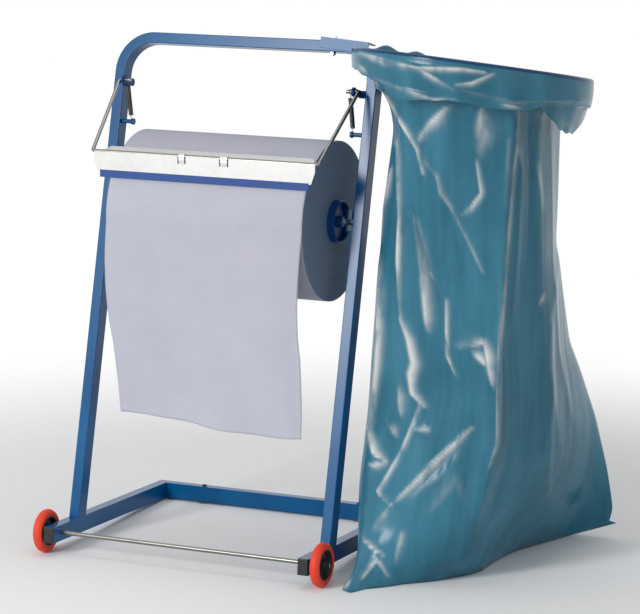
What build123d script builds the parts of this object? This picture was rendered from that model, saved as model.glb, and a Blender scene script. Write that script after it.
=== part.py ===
# Mobile floor stand for a wide wiping-paper roll, with a spring-held tear-off bar
# and a waste-bag holder on its right. Millimetres, +Z up, X to the right, Y to the back.
# The origin is on the floor, midway between the two front wheels.
import os
from math import atan, cos, pi, radians, sin, tan

from build123d import *

# Driving dimensions: frame
FRAME_WIDTH = 530.0        # outside of the two legs and of the two base arms
STAND_HEIGHT = 936.0       # floor to the front top edge of the hoop
TUBE_FACE = 20.0           # narrow side of the rectangular tube, seen from the front
TUBE_DEPTH = 30.0          # wide side of the tube
TUBE_WALL = 1.5
TUBE_CORNER = 1.5          # outside corner radius of the tube section
HOOP_BEND = 65.0           # centre-line radius of the hoop's two bends
LEG_LEAN = 14.4            # degrees, the top of the hoop lies further back
LEG_FRONT = 64.0           # behind the wheel axle, front face of a leg where it meets the arm

# Driving dimensions: base and wheels
BASE_BACK = 441.0          # from the wheel axle to the back face of the rear rail
BASE_FRONT = 31.0          # arm ends in front of the wheel axle
GLIDE_THICKNESS = 3.0      # rubber glide under the rear rail
GLIDE_DIAMETER = 24.0
GLIDE_SPACING = 330.0
GLIDE_SCREW = 5.0
WHEEL_DIAMETER = 80.0
WHEEL_WIDTH = 22.0
TYRE_DEPTH = 12.0          # radial height of the rubber tyre
WHEEL_AXLE = 8.0
WASHER_THICKNESS = 1.6
CAP_FLANGE = 3.0           # black end plug, part that stays outside the tube
CAP_PLUG = 14.0            # part pushed into the tube

# Driving dimensions: roll
ROLL_DIAMETER = 292.0
ROLL_WIDTH = 390.0
ROLL_SHIFT = 7.0           # the roll sits a little right of the middle on its rod
ROLL_HEIGHT = 615.0        # floor to the roll's rod
ROLL_BACK = 22.0           # behind the leg's front face
CORE_BORE = 60.0
CORE_WALL = 4.0
HUB_FLANGE = 77.0
HUB_FLANGE_THICKNESS = 14.0
HUB_PLUG_LENGTH = 32.0
HUB_RECESS = 9.0
ROLL_ROD = 10.0
BRACKET_SHEET = 3.0
BRACKET_OFFSET = 10.0      # inner plate stands this far off the leg
BRACKET_WIDTH = 26.0
SHEET_THICKNESS = 1.0      # hanging paper, a few plies thick
SHEET_BOTTOM = 250.0

# Driving dimensions: tear-off bar
BOW_ROD = 7.0
PIVOT_Y = 244.0
PIVOT_Z = 850.0
BOW_TOP_WIDTH = 482.0      # between the centre lines of the two arms at the pivots
BOW_BOTTOM_WIDTH = 450.0
BOW_DROP = 114.0           # pivot down to the bar
BOW_REACH = 140.0          # pivot forward to the bar
BOW_BEND = 6.0
JOURNAL_LENGTH = 23.0
PLATE_SHEET = 1.5
PLATE_FLANGE = 33.0
PLATE_SKIRT = 32.0
PLATE_WIDTH = 436.0
PLATE_TAPER = 8.0          # each end of the skirt narrows by this much towards its foot
TAB_WIDTH = 11.0
TAB_POSITIONS = (-62.0, 24.0)
EDGE_STRIP_HEIGHT = 14.0
EDGE_STRIP_THICKNESS = 3.0
EYE_SHEET = 4.0
EYE_DIAMETER = 17.0
SPRING_DIAMETER = 9.0
SPRING_WIRE = 1.3
SPRING_BODY = 56.0
SPRING_PIN = 8.0
SPRING_PIN_HEAD = 12.0
SPRING_PIN_LENGTH = 25.0
SPRING_PIN_ALONG = 757.0   # along the leg from the wheel axle's height
SPRING_PIN_BACK = 11.0     # behind the leg's front face

# Driving dimensions: bag holder
ARM_SHEET = 2.5
ARM_WEB = 20.0
ARM_FLANGE = 30.0
ARM_LEFT = 148.0
ARM_RIGHT = 243.0
ARM_DROOP = 4.2            # degrees, the holder hangs a little to the right
BOLT_X = 167.0
BOLT = 6.0
BOLT_HEAD = 10.0
BOLT_HEAD_HEIGHT = 4.0
BOLT_WASHER = 1.0
WASHER_RADIUS = 6.0
NUT_HEIGHT = 5.0
RING_DIAMETER = 426.0      # outside of the ring
RING_ROD = 6.0
RING_X = 453.0
RING_Y = 262.0
RING_Z = 907.0
RING_FALL_RIGHT = 4.4      # degrees
RING_FALL_BACK = 9.3
FILM = 1.2                 # bag film with its folds, as one wall
COLLAR_DEPTH = 52.0        # film folded over the ring, outside
COLLAR_LAP = 6.0           # inner film that backs the bag's rim
COLLAR_FLARE = 4.0
COLLAR_OPEN = 90.0         # degrees of the ring left free at the arm and the hoop
BAG_FLOOR_GAP = 0.5
FIT = 0.05                 # radial gap of pushed and running fits
GAP = 0.4                  # gap between pieces that only come close

# Places that follow from the driving dimensions
half = FRAME_WIDTH / 2
inner = half - TUBE_FACE
axle_height = WHEEL_DIAMETER / 2
lean = radians(LEG_LEAN)
rail_middle_y = BASE_BACK - TUBE_FACE / 2
rail_middle_z = GLIDE_THICKNESS + TUBE_DEPTH / 2
base_fall = atan((axle_height - rail_middle_z) / rail_middle_y)


def leg_point(x, along, back):
    """A point by its place along a leg and behind the leg's front face."""
    front = LEG_FRONT - TUBE_DEPTH / 2 * tan(lean)
    return Vector(
        x,
        front + along * sin(lean) + back * cos(lean),
        axle_height + along * cos(lean) - back * sin(lean),
    )


def leg_plane(x, along, back):
    """X stays across, Y points back out of the leg, Z runs up the leg."""
    return Plane(
        origin=leg_point(x, along, back),
        x_dir=(1, 0, 0),
        z_dir=(0, sin(lean), cos(lean)),
    )


def base_plane(x, y, up=0.0):
    """X across, Y along the arms to the back, Z square to them."""
    return Plane(
        origin=(x, y * cos(base_fall) + up * sin(base_fall),
                axle_height - y * sin(base_fall) + up * cos(base_fall)),
        x_dir=(1, 0, 0),
        z_dir=(0, sin(base_fall), cos(base_fall)),
    )


def across(x, y, z, length, radius):
    """A round bar along X, from x towards the right."""
    return Plane(origin=(x, y, z), x_dir=(0, 1, 0), z_dir=(1, 0, 0)) * extrude(
        Circle(radius), amount=length)


def box_in(plane, x_size, y_size, z_size):
    return plane * Box(x_size, y_size, z_size)


def mirrored(solid):
    return mirror(solid, about=Plane.YZ)


hoop_top = (STAND_HEIGHT - axle_height) / cos(lean)


# Frame
def tube_face(plane, shrink):
    corner = TUBE_CORNER if shrink == 0 else TUBE_CORNER / 2
    return plane * RectangleRounded(TUBE_DEPTH - 2 * shrink, TUBE_FACE - 2 * shrink, corner)


def make_upper_frame():
    """The hoop: one rectangular tube bent twice, standing on the two arms."""
    middle = TUBE_DEPTH / 2
    side = half - TUBE_FACE / 2
    top = hoop_top - TUBE_FACE / 2
    foot = 0.0
    corners = [leg_point(-side, foot, middle), leg_point(-side, top, middle),
               leg_point(side, top, middle), leg_point(side, foot, middle)]
    path = FilletPolyline(*corners, radius=HOOP_BEND)
    start = Plane(origin=corners[0], x_dir=(0, cos(lean), -sin(lean)),
                  z_dir=(0, sin(lean), cos(lean)))
    hoop = sweep(tube_face(start, 0), path=path) - sweep(tube_face(start, TUBE_WALL), path=path)
    # the feet are cut to the slope of the arms
    below = base_plane(0, 0, TUBE_DEPTH / 2 - 100) * Box(2 * FRAME_WIDTH, 400, 200)
    hoop -= below
    # holes for the holder's bolt
    hoop -= leg_plane(BOLT_X, hoop_top - TUBE_FACE / 2, middle) * Cylinder(BOLT / 2 + 0.25, 3 * TUBE_FACE)
    return hoop


def base_tube(x_size, y_size, shrink):
    return Box(x_size - 2 * shrink, y_size - 2 * shrink, TUBE_DEPTH - 2 * shrink)


def make_base_frame():
    """Two side arms and the rear rail, mitred and welded to one U."""
    length = (BASE_BACK + BASE_FRONT) / cos(base_fall)
    middle = (BASE_BACK - BASE_FRONT) / 2 / cos(base_fall)
    frame = None
    hollow = None
    for x in (-half + TUBE_FACE / 2, half - TUBE_FACE / 2):
        arm = base_plane(x, middle) * base_tube(TUBE_FACE, length, 0)
        bore = base_plane(x, middle - TUBE_WALL) * Box(
            TUBE_FACE - 2 * TUBE_WALL, length, TUBE_DEPTH - 2 * TUBE_WALL)
        frame = arm if frame is None else frame + arm
        hollow = bore if hollow is None else hollow + bore
    rail_place = base_plane(0, rail_middle_y / cos(base_fall))
    frame += rail_place * Box(FRAME_WIDTH, TUBE_FACE, TUBE_DEPTH)
    hollow += rail_place * Box(FRAME_WIDTH - 2 * TUBE_WALL, TUBE_FACE - 2 * TUBE_WALL,
                               TUBE_DEPTH - 2 * TUBE_WALL)
    frame -= hollow
    frame -= across(-half - 1, 0, axle_height, FRAME_WIDTH + 2, WHEEL_AXLE / 2 + FIT)
    for x in (-GLIDE_SPACING / 2, GLIDE_SPACING / 2):
        frame -= base_plane(x, rail_middle_y / cos(base_fall)) * Cylinder(
            GLIDE_SCREW / 2 + FIT, 2 * TUBE_DEPTH)
    return frame


def make_end_cap(x):
    front = -BASE_FRONT / cos(base_fall)
    flange = base_plane(x, front - CAP_FLANGE / 2) * Box(TUBE_FACE, CAP_FLANGE, TUBE_DEPTH)
    flange = fillet(flange.faces().sort_by(Axis.Y)[0].edges(), radius=CAP_FLANGE / 2)
    plug = base_plane(x, front + CAP_PLUG / 2) * Box(
        TUBE_FACE - 2 * TUBE_WALL - 2 * FIT, CAP_PLUG, TUBE_DEPTH - 2 * TUBE_WALL - 2 * FIT)
    hollow = base_plane(x, front + CAP_PLUG / 2 + 1) * Box(
        TUBE_FACE - 4 * TUBE_WALL, CAP_PLUG, TUBE_DEPTH - 4 * TUBE_WALL)
    return flange + plug - hollow


def make_glide(x):
    """Round rubber glide, its sole flat on the floor, its top against the sloping rail."""
    place = base_plane(x, rail_middle_y / cos(base_fall), -TUBE_DEPTH / 2)
    top = place.origin
    pad = Pos(top.X, top.Y, 0) * extrude(Circle(GLIDE_DIAMETER / 2), amount=3 * GLIDE_THICKNESS)
    pad = chamfer(pad.faces().sort_by(Axis.Z)[0].edges(), length=0.6)
    above = place * Pos(0, 0, 50) * Box(100, 100, 100)
    pad -= above
    return pad - place * Cylinder(GLIDE_SCREW / 2 + FIT, 20)


def make_glide_screw(x):
    """Black pan-head screw through the rail, with its nut sunk in the glide."""
    place = base_plane(x, rail_middle_y / cos(base_fall), TUBE_DEPTH / 2)
    head = place * Pos(0, 0, 1.4) * Cylinder(4.6, 2.8)
    head = fillet(head.faces().sort_by(Axis.Z)[-1].edges(), radius=1.6)
    length = TUBE_DEPTH + 1.0
    return head + place * Pos(0, 0, -length / 2) * Cylinder(GLIDE_SCREW / 2, length)


# Wheels
def wheel_profile(points, x):
    """Turn a closed outline of (across, radius) points about the wheel axle."""
    outline = Plane.XY * make_face(Polyline(*points, close=True))
    turned = revolve(outline, axis=Axis.X)
    return Pos(x, 0, axle_height) * turned


wheel_inner_x = half + WASHER_THICKNESS + FIT
hub_radius = WHEEL_DIAMETER / 2 - TYRE_DEPTH


def make_tyre():
    """Soft red tyre with a rounded tread and a groove that grips the hub's rim."""
    w = WHEEL_WIDTH
    r = WHEEL_DIAMETER / 2
    tread = ThreePointArc((2.0, r - 5.5), (w / 2, r), (w - 2.0, r - 5.5))
    side = Polyline((w - 2.0, r - 5.5), (w - 3.0, hub_radius + FIT), (3.0, hub_radius + FIT),
                    (2.0, r - 5.5))
    face = make_face(Curve() + [tread, side])
    return Pos(wheel_inner_x, 0, axle_height) * revolve(face, axis=Axis.X)


def make_wheel_hub():
    """Black moulded hub: rim, dished web with holes and a long bearing sleeve."""
    w = WHEEL_WIDTH
    bore = WHEEL_AXLE / 2 + FIT
    boss = bore + 4.5
    rim = hub_radius
    hub = wheel_profile([(0, bore), (w, bore), (w, boss), (w / 2 + 2, boss + 1.5),
                         (w / 2 + 2, rim - 4.5), (w - 3, rim - 3), (w - 3, rim), (3, rim),
                         (3, rim - 3), (w / 2 - 2, rim - 4.5), (w / 2 - 2, boss + 1.5),
                         (0, boss)], wheel_inner_x)
    for turn in range(6):
        angle = radians(60 * turn)
        reach = (boss + rim - 3) / 2
        hub -= across(wheel_inner_x - 1, reach * cos(angle), axle_height + reach * sin(angle),
                      w + 2, 3.2)
    return hub


def make_washer():
    x = half + FIT / 2
    return (across(x, 0, axle_height, WASHER_THICKNESS, 9.0)
            - across(x - 1, 0, axle_height, WASHER_THICKNESS + 2, WHEEL_AXLE / 2 + FIT))


axle_end = wheel_inner_x + WHEEL_WIDTH + 6.0


def make_wheel_axle():
    rod = across(-axle_end, 0, axle_height, 2 * axle_end, WHEEL_AXLE / 2)
    return chamfer(rod.edges().filter_by(GeomType.CIRCLE), length=0.8)


def make_push_cap():
    """Domed spring cap pressed on the axle outside the wheel."""
    x = wheel_inner_x + WHEEL_WIDTH + 2 * FIT
    ring = across(x, 0, axle_height, 3.0, 8.0) + across(x, 0, axle_height, 4.6, 6.0)
    return ring - across(x - 1, 0, axle_height, 9, WHEEL_AXLE / 2 + FIT)


# Paper roll
roll_along = (ROLL_HEIGHT - axle_height) / cos(lean) + ROLL_BACK * tan(lean)
roll_center = leg_point(0, roll_along, ROLL_BACK)
roll_y = roll_center.Y
roll_z = roll_center.Z
roll_left = ROLL_SHIFT - ROLL_WIDTH / 2
roll_right = ROLL_SHIFT + ROLL_WIDTH / 2
core_outer = CORE_BORE / 2 + CORE_WALL


def make_roll_rod():
    end = inner - 1.0
    rod = across(-end, roll_y, roll_z, 2 * end, ROLL_ROD / 2)
    return chamfer(rod.edges().filter_by(GeomType.CIRCLE), length=1.0)


def make_hub(side):
    """Blue moulded hub: flange outside the roll, plug with a bore inside its core."""
    face = roll_right if side > 0 else roll_left
    flange = HUB_FLANGE_THICKNESS
    bore = ROLL_ROD / 2 + FIT
    plug = CORE_BORE / 2 - FIT
    rim = HUB_FLANGE / 2
    floor = flange - HUB_RECESS
    points = [(-HUB_PLUG_LENGTH, bore), (flange + 2, bore), (flange + 2, bore + 4),
              (floor, bore + 6), (floor, rim - 4), (flange - 1.5, rim - 3), (flange, rim - 2),
              (flange - 2, rim), (GAP / 4, rim), (GAP / 4, plug), (-HUB_PLUG_LENGTH, plug - 1),
              (-HUB_PLUG_LENGTH, plug - 5), (-2, plug - 5), (-2, bore + 4),
              (-HUB_PLUG_LENGTH, bore + 3)]
    outline = make_face(Polyline(*points, close=True))
    hub = revolve(outline, axis=Axis.X)
    if side < 0:
        hub = mirrored(hub)
    return Pos(face, roll_y, roll_z) * hub


def make_core():
    outer = across(roll_left, roll_y, roll_z, ROLL_WIDTH, core_outer)
    return outer - across(roll_left - 1, roll_y, roll_z, ROLL_WIDTH + 2, CORE_BORE / 2)


def make_paper_roll():
    outer = across(roll_left, roll_y, roll_z, ROLL_WIDTH, ROLL_DIAMETER / 2)
    outer = fillet(outer.edges().filter_by(GeomType.CIRCLE), radius=1.2)
    return outer - across(roll_left - 1, roll_y, roll_z, ROLL_WIDTH + 2, core_outer + FIT)


def make_paper_sheet():
    """The free end: it leaves the roll at its front and hangs straight down."""
    radius = ROLL_DIAMETER / 2 + GAP
    start = 24.0
    on_roll = CenterArc((roll_y, roll_z), radius, 180 - start, start)
    y = roll_y - radius
    down = Polyline((y, roll_z), (y, SHEET_BOTTOM), (y - SHEET_THICKNESS, SHEET_BOTTOM),
                    (y - SHEET_THICKNESS, roll_z))
    outside = CenterArc((roll_y, roll_z), radius + SHEET_THICKNESS, 180 - start, start)
    end = Line(on_roll @ 0, outside @ 0)
    face = make_face(Curve() + [on_roll, down, outside, end])
    place = Plane(origin=(roll_left, 0, 0), x_dir=(0, 1, 0), z_dir=(1, 0, 0))
    return place * extrude(face, amount=ROLL_WIDTH)


def make_roll_bracket():
    """Joggled sheet hook on the inside of a leg; the rod drops into its open slot."""
    s = BRACKET_SHEET
    step = BRACKET_OFFSET
    slot = ROLL_ROD + 2 * FIT
    foot_low = -46.0
    foot_top = -20.0
    tip = 22.0
    outline = Polyline((0, foot_low), (0, foot_top + s), (-step, foot_top + s), (-step, tip),
                       (-step - s, tip), (-step - s, foot_top), (-s, foot_top), (-s, foot_low),
                       close=True)
    place = leg_plane(inner, roll_along, ROLL_BACK)
    profile = Plane(origin=place.origin, x_dir=(1, 0, 0), z_dir=(0, -cos(lean), sin(lean)))
    to_middle = ROLL_BACK - TUBE_DEPTH / 2
    plate = profile * Pos(0, 0, to_middle) * extrude(
        make_face(outline), amount=BRACKET_WIDTH / 2, both=True)
    hook = across(inner - step - s - 1, roll_y, roll_z, s + 2, slot / 2)
    mouth = place * Pos(-step - s / 2, 0, (tip + 1) / 2) * Box(s + 2, slot, tip + 1)
    return plate - hook - mouth


# Tear-off bar
bar_y = PIVOT_Y - BOW_REACH
bar_z = PIVOT_Z - BOW_DROP


def make_bow():
    """Round steel bow: bar, two splayed arms and two journals bent inwards."""
    top = BOW_TOP_WIDTH / 2
    low = BOW_BOTTOM_WIDTH / 2
    end = top - JOURNAL_LENGTH
    points = [(-end, PIVOT_Y, PIVOT_Z), (-top, PIVOT_Y, PIVOT_Z), (-low, bar_y, bar_z),
              (low, bar_y, bar_z), (top, PIVOT_Y, PIVOT_Z), (end, PIVOT_Y, PIVOT_Z)]
    path = FilletPolyline(*points, radius=BOW_BEND)
    start = Plane(origin=points[0], z_dir=(-1, 0, 0))
    return sweep(start * Circle(BOW_ROD / 2), path=path)


def make_tear_plate():
    """Zinc-plated angle under the bar: flange to the back, skirt down, two bent tabs."""
    t = PLATE_SHEET
    under = bar_z - BOW_ROD / 2 - FIT
    front = bar_y - BOW_ROD / 2 - FIT
    width = PLATE_WIDTH
    taper = PLATE_TAPER
    skirt = make_face(Polyline((-width / 2, under), (width / 2, under),
                               (width / 2 - taper, under - PLATE_SKIRT),
                               (-width / 2 + taper, under - PLATE_SKIRT), close=True))
    skirt = Plane(origin=(0, front, 0), x_dir=(1, 0, 0), z_dir=(0, -1, 0)) * skirt
    plate = extrude(skirt, amount=-t)
    flange = make_face(Polyline((-width / 2, front), (width / 2, front),
                                (width / 2 - taper, front + PLATE_FLANGE),
                                (-width / 2 + taper, front + PLATE_FLANGE), close=True))
    corners = flange.vertices().sort_by(Axis.Y)[-2:]
    flange = fillet(corners, radius=6)
    plate += Pos(0, 0, under - t) * extrude(flange, amount=t)
    for x in TAB_POSITIONS:
        ring = across(x - TAB_WIDTH / 2, bar_y, bar_z, TAB_WIDTH, BOW_ROD / 2 + FIT + t)
        foot = Pos(x, bar_y, under + BOW_ROD / 4) * Box(
            TAB_WIDTH, BOW_ROD + 2 * FIT + 2 * t, BOW_ROD / 2)
        bore = across(x - TAB_WIDTH, bar_y, bar_z, 2 * TAB_WIDTH, BOW_ROD / 2 + FIT)
        plate += ring + foot
        plate -= bore
    return plate


def make_edge_strip():
    """Blue plastic strip pushed on the foot of the skirt, the edge the paper is torn on."""
    t = PLATE_SHEET
    front = bar_y - BOW_ROD / 2 - FIT
    foot = bar_z - BOW_ROD / 2 - FIT - PLATE_SKIRT
    depth = 3.0
    width = PLATE_WIDTH - 2 * PLATE_TAPER - 4
    middle_y = front + t / 2
    body = Pos(0, middle_y, foot + depth - EDGE_STRIP_HEIGHT / 2) * Box(
        width, EDGE_STRIP_THICKNESS + t, EDGE_STRIP_HEIGHT)
    body = fillet(body.edges().filter_by(Axis.X), radius=0.8)
    slot = Pos(0, middle_y, foot + depth / 2 + 2) * Box(width + 2, t + 2 * FIT, depth + 4 + FIT)
    return body - slot


def make_pivot_eye():
    """Black eye on a spacer, on the inside of a leg, in which the bow's journal turns."""
    t = EYE_SHEET
    outside = BOW_TOP_WIDTH / 2 - BOW_BEND - 2 * GAP
    plate_x = outside - t
    base = leg_point(inner, 0, 10.0)
    along = ((PIVOT_Z - base.Z) * cos(lean) + (PIVOT_Y - base.Y) * sin(lean))
    foot = leg_point(inner, along, 10.0)
    eye = across(plate_x, PIVOT_Y, PIVOT_Z, t, EYE_DIAMETER / 2)
    boss = across(plate_x, foot.Y, foot.Z, inner - plate_x, EYE_DIAMETER / 2 - 1.5)
    reach = ((foot.Y - PIVOT_Y) ** 2 + (foot.Z - PIVOT_Z) ** 2) ** 0.5
    link = Plane(origin=(plate_x + t / 2, (foot.Y + PIVOT_Y) / 2, (foot.Z + PIVOT_Z) / 2),
                 x_dir=(1, 0, 0), z_dir=(0, sin(lean), cos(lean))) * Box(t, reach, EYE_DIAMETER - 4)
    bore = across(plate_x - 1, PIVOT_Y, PIVOT_Z, t + 2, BOW_ROD / 2 + FIT)
    return eye + boss + link - bore


spring_x = BOW_TOP_WIDTH / 2 - JOURNAL_LENGTH + 4.0


def make_spring_pin():
    """Blue pin welded to the inside of a leg, with a groove behind its head."""
    foot = leg_point(inner, SPRING_PIN_ALONG, SPRING_PIN_BACK)
    pin = across(inner - SPRING_PIN_LENGTH, foot.Y, foot.Z, SPRING_PIN_LENGTH, SPRING_PIN / 2)
    head = across(inner - SPRING_PIN_LENGTH, foot.Y, foot.Z, 4.0, SPRING_PIN_HEAD / 2)
    return pin + head


def make_spring():
    """Closed-coil tension spring between the journal and the pin, with a loop at each end."""
    foot = leg_point(inner, SPRING_PIN_ALONG, SPRING_PIN_BACK)
    x = inner - SPRING_PIN_LENGTH + 4.0 + GAP + SPRING_WIRE / 2
    low = Vector(x, foot.Y, foot.Z)
    high = Vector(x, PIVOT_Y, PIVOT_Z)
    run = (high - low).normalized()
    middle = (low + high) * 0.5
    barrel_plane = Plane(origin=middle - run * (SPRING_BODY / 2), z_dir=run)
    barrel = barrel_plane * extrude(Circle(SPRING_DIAMETER / 2)
                                    - Circle(SPRING_DIAMETER / 2 - SPRING_WIRE), amount=SPRING_BODY)
    spring = barrel
    for center, bar, end in ((low, SPRING_PIN / 2, middle - run * (SPRING_BODY / 2)),
                             (high, BOW_ROD / 2, middle + run * (SPRING_BODY / 2))):
        radius = bar + 0.3 + SPRING_WIRE / 2
        loop_plane = Plane(origin=center, x_dir=(0, 1, 0), z_dir=(1, 0, 0))
        loop = loop_plane * Torus(radius, SPRING_WIRE / 2)
        direction = (end - center).normalized()
        start = center + direction * radius
        neck = Plane(origin=start, z_dir=direction) * extrude(
            Circle(SPRING_WIRE / 2), amount=(end - start).length + 1.0)
        cap = Plane(origin=end, z_dir=direction) * extrude(
            Circle(SPRING_DIAMETER / 2), amount=SPRING_WIRE)
        spring = spring + loop + neck + cap
    return spring


# Bag holder
tube_top = hoop_top
contact_x = half - TUBE_FACE / 2 - HOOP_BEND
droop = radians(ARM_DROOP)
# the drooping flange rests on the start of the hoop's bend
arm_lift = FIT + (HOOP_BEND + TUBE_FACE / 2) * (1 / cos(droop) - 1)
# the washer bears on the flange where it stands highest
washer_low = (tube_top + arm_lift + (contact_x - BOLT_X + WASHER_RADIUS) * tan(droop)
              + ARM_SHEET / cos(droop))


def ring_frame():
    """Plane of the ring: Z is its axis, X points to its right."""
    fall_right = tan(radians(RING_FALL_RIGHT))
    fall_back = tan(radians(RING_FALL_BACK))
    return Plane(origin=(RING_X, RING_Y, RING_Z), x_dir=(1, 0, -fall_right),
                 z_dir=(fall_right, fall_back, 1))


def arm_plane():
    """Top of the tube where the holder's angle bears on it, turned by the droop."""
    return leg_plane(contact_x, tube_top + arm_lift, 0) * Rot(0, ARM_DROOP, 0)


def make_bag_holder():
    """Angle arm bent from sheet, with the round ring welded behind its web."""
    s = ARM_SHEET
    left = ARM_LEFT - contact_x
    right = ARM_RIGHT - contact_x
    middle = (left + right) / 2
    flange = Pos(middle, (ARM_FLANGE - s) / 2 - GAP, s / 2) * Box(right - left, ARM_FLANGE + s, s)
    web = Pos(middle, -s / 2 - GAP, s - ARM_WEB / 2) * Box(right - left, s, ARM_WEB)
    arm = arm_plane() * (flange + web)
    arm -= leg_plane(BOLT_X, tube_top, TUBE_DEPTH / 2) * Cylinder(BOLT / 2 + 0.35, 40)
    ring = ring_frame() * Torus((RING_DIAMETER - RING_ROD) / 2, RING_ROD / 2)
    return arm + ring


def make_bolt():
    """Hexagon bolt through the arm and the hoop."""
    head_low = washer_low + BOLT_WASHER + FIT
    place = leg_plane(BOLT_X, head_low, TUBE_DEPTH / 2)
    head = place * extrude(RegularPolygon(BOLT_HEAD / 2, 6, major_radius=False),
                           amount=BOLT_HEAD_HEIGHT)
    length = head_low - tube_top + TUBE_FACE + NUT_HEIGHT + 2.0
    shank = place * Pos(0, 0, -length / 2) * Cylinder(BOLT / 2, length)
    return head + shank


def make_nut():
    place = leg_plane(BOLT_X, tube_top - TUBE_FACE - NUT_HEIGHT - FIT, TUBE_DEPTH / 2)
    nut = place * extrude(RegularPolygon(BOLT_HEAD / 2, 6, major_radius=False), amount=NUT_HEIGHT)
    return nut - place * Cylinder(BOLT / 2 + FIT, 40)


def make_bolt_washer():
    place = leg_plane(BOLT_X, washer_low, TUBE_DEPTH / 2)
    return place * extrude(Circle(WASHER_RADIUS) - Circle(BOLT / 2 + FIT), amount=BOLT_WASHER)


# Waste bag
# Each level of the bag: height, centre x, centre y, half width, half depth, pleat depth
BAG_LEVELS = (
    (0.0, 492.0, 268.0, 206.0, 212.0, 6.0),
    (24.0, 488.0, 268.0, 216.0, 226.0, 10.0),
    (140.0, 483.0, 268.0, 213.0, 222.0, 14.0),
    (280.0, 471.0, 268.0, 200.0, 206.0, 14.0),
    (400.0, 459.0, 268.0, 182.0, 190.0, 14.0),
    (520.0, 451.0, 267.0, 167.0, 178.0, 14.0),
    (640.0, 450.0, 266.0, 156.0, 170.0, 12.0),
    (780.0, 462.0, 264.0, 152.0, 172.0, 8.0),
)
PLEATS = 9
BAG_SIDES = 36


def bag_section(level, shrink):
    height, center_x, center_y, wide, deep, pleat = level
    points = []
    for k in range(BAG_SIDES):
        angle = 2 * pi * k / BAG_SIDES
        wave = 1 + pleat / wide * 0.5 * cos(PLEATS * angle)
        points.append((center_x + (wide - shrink) * wave * cos(angle),
                       center_y + (deep - shrink) * wave * sin(angle),
                       height))
    return points


def bag_body(shrink, bottom):
    """Closed lofted body of the bag, smaller by the wall for its inside."""
    mouth = ring_frame()
    radius = (RING_DIAMETER - 2 * RING_ROD) / 2 - 2 * GAP - shrink
    near = RING_ROD / 2 + GAP
    sections = []
    for level in BAG_LEVELS:
        height = max(level[0], bottom)
        points = bag_section((height,) + level[1:], shrink)
        sections.append(make_face(Polyline(*points, close=True)))
    for drop, shift, narrower in ((36.0, 10.0, 11.0), (-near, 0.0, 0.0)):
        circle = [mouth.from_local_coords(
            Vector(shift + (radius - narrower) * cos(2 * pi * k / BAG_SIDES),
                   (radius - narrower) * sin(2 * pi * k / BAG_SIDES), -drop))
            for k in range(BAG_SIDES)]
        sections.append(make_face(Polyline(*circle, close=True)))
    return loft(sections, ruled=True)


def bag_collar():
    """Film over the ring: an upside-down U turned about the ring's axis, open at the arm."""
    middle = (RING_DIAMETER - RING_ROD) / 2
    near = RING_ROD / 2 + GAP
    top = near + FILM
    inside = middle - near
    outside = middle + near
    # the lip takes in the flats of the bag's many-sided wall
    lip = (inside - GAP - FILM) * cos(pi / BAG_SIDES) - GAP
    profile = Polyline((lip, near - COLLAR_LAP), (lip, top), (outside + FILM, top),
                       (outside + FILM + COLLAR_FLARE, -COLLAR_DEPTH),
                       (outside + COLLAR_FLARE, -COLLAR_DEPTH), (outside, near), (inside, near),
                       (inside, near - COLLAR_LAP), close=True)
    face = Plane.XZ * make_face(profile)
    turned = revolve(face, axis=Axis.Z, revolution_arc=360 - COLLAR_OPEN)
    return ring_frame() * Rot(0, 0, 180 + COLLAR_OPEN / 2) * turned


def make_bag():
    """Film bag: pleated body inside the ring and a collar folded over it."""
    body = bag_body(0.0, BAG_FLOOR_GAP) - bag_body(FILM, BAG_FLOOR_GAP + FILM)
    return body + bag_collar()


def save(name, solid):
    solid.label = name
    export_step(solid, "parts/" + name + ".step")


os.makedirs("parts", exist_ok=True)
side_of = {"left": mirrored, "right": lambda solid: solid}
save("upper_frame", make_upper_frame())
save("base_frame", make_base_frame())
save("left_end_cap", make_end_cap(-half + TUBE_FACE / 2))
save("right_end_cap", make_end_cap(half - TUBE_FACE / 2))
save("left_glide", make_glide(-GLIDE_SPACING / 2))
save("right_glide", make_glide(GLIDE_SPACING / 2))
save("left_glide_screw", make_glide_screw(-GLIDE_SPACING / 2))
save("right_glide_screw", make_glide_screw(GLIDE_SPACING / 2))
save("wheel_axle", make_wheel_axle())
pairs = (("wheel_washer", make_washer()), ("wheel_tyre", make_tyre()),
         ("wheel_hub", make_wheel_hub()), ("axle_cap", make_push_cap()),
         ("roll_bracket", make_roll_bracket()), ("pivot_eye", make_pivot_eye()),
         ("spring_pin", make_spring_pin()), ("spring", make_spring()))
for name, solid in pairs:
    for side, place in side_of.items():
        save(side + "_" + name, place(solid))
save("roll_rod", make_roll_rod())
save("left_roll_hub", make_hub(-1))
save("right_roll_hub", make_hub(1))
save("roll_core", make_core())
save("paper_roll", make_paper_roll())
save("paper_sheet", make_paper_sheet())
save("tear_bow", make_bow())
save("tear_plate", make_tear_plate())
save("tear_edge_strip", make_edge_strip())
save("bag_holder", make_bag_holder())
save("holder_bolt", make_bolt())
save("holder_nut", make_nut())
save("holder_washer", make_bolt_washer())
save("waste_bag", make_bag())
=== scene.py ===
# %% [markdown]
# A mobile stand for a wide roll of wiping paper, with a waste bag on a ring beside it.
# The hard parts come from a CAD model, in metres, and stay exactly where they are.
# This lesson gives them their finishes and models what is soft: the bag, the paper,
# the springs' real coils, and the layers at the ends of the roll.

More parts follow.
